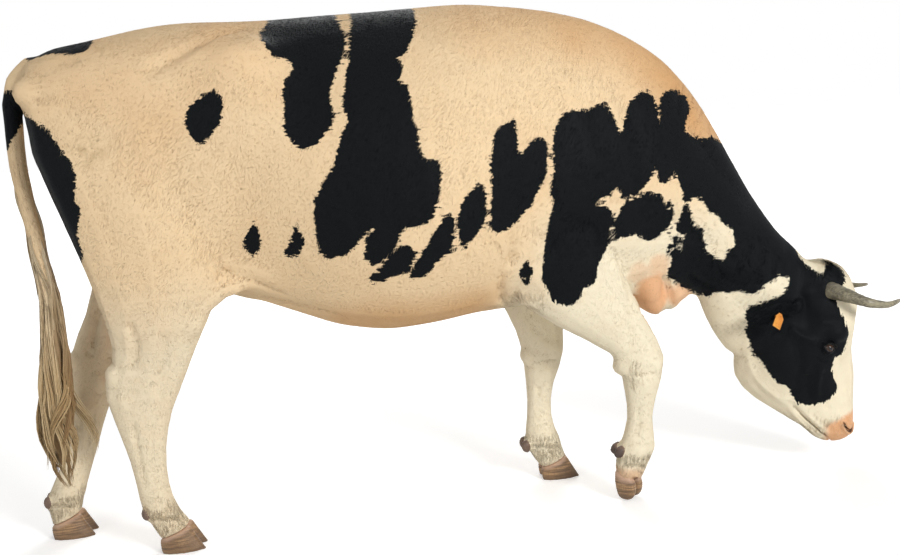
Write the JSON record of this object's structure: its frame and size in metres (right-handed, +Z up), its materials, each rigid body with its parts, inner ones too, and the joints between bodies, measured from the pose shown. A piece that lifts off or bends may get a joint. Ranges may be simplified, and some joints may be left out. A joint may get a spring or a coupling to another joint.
{
  "type": "cow",
  "caption": "Life-size black and cream dairy cow in a grazing pose, with horns, hooves, tail and a plain ear tag.",
  "frame": {"origin": "on the floor, under the middle of the box that the whole animal fills", "axes": "+Z up, +X the way the cow walks, -Y its right side"},
  "size_m": [2.6218, 0.7348, 1.4823],
  "materials": {
    "coat": "short flat hair in cream and near-black patches over skin",
    "switch_hair": "long wavy golden-brown hair",
    "horn": "grey ringed horn keratin, satin",
    "hoof": "tan-brown hoof horn with growth rings",
    "eye": "wet dark brown eyeball",
    "tag": "plain orange flexible plastic, bare"
  },
  "bodies": {
    "root": {"claw_fore_left_inner": "hoof", "claw_fore_left_outer": "hoof", "claw_fore_right_inner": "hoof", "claw_fore_right_outer": "hoof", "claw_hind_left_inner": "hoof", "claw_hind_left_outer": "hoof", "claw_hind_right_inner": "hoof", "claw_hind_right_outer": "hoof", "dewclaw_fore_left_inner": "hoof", "dewclaw_fore_left_outer": "hoof", "dewclaw_fore_right_inner": "hoof", "dewclaw_fore_right_outer": "hoof", "dewclaw_hind_left_inner": "hoof", "dewclaw_hind_left_outer": "hoof", "dewclaw_hind_right_inner": "hoof", "dewclaw_hind_right_outer": "hoof", "ear_left": "coat", "ear_right": "coat", "ear_tag": "tag", "eye_left": "eye", "eye_right": "eye", "head": "coat", "horn_left": "horn", "horn_right": "horn", "lower_leg_fore_left": "coat", "lower_leg_fore_right": "coat", "lower_leg_hind_left": "coat", "lower_leg_hind_right": "coat", "muzzle": "coat", "neck": "coat", "tail": "coat", "tail_switch": "switch_hair", "trunk": "coat", "udder": "coat", "upper_leg_fore_left": "coat", "upper_leg_fore_right": "coat", "upper_leg_hind_left": "coat", "upper_leg_hind_right": "coat"}
  },
  "joints": []
}
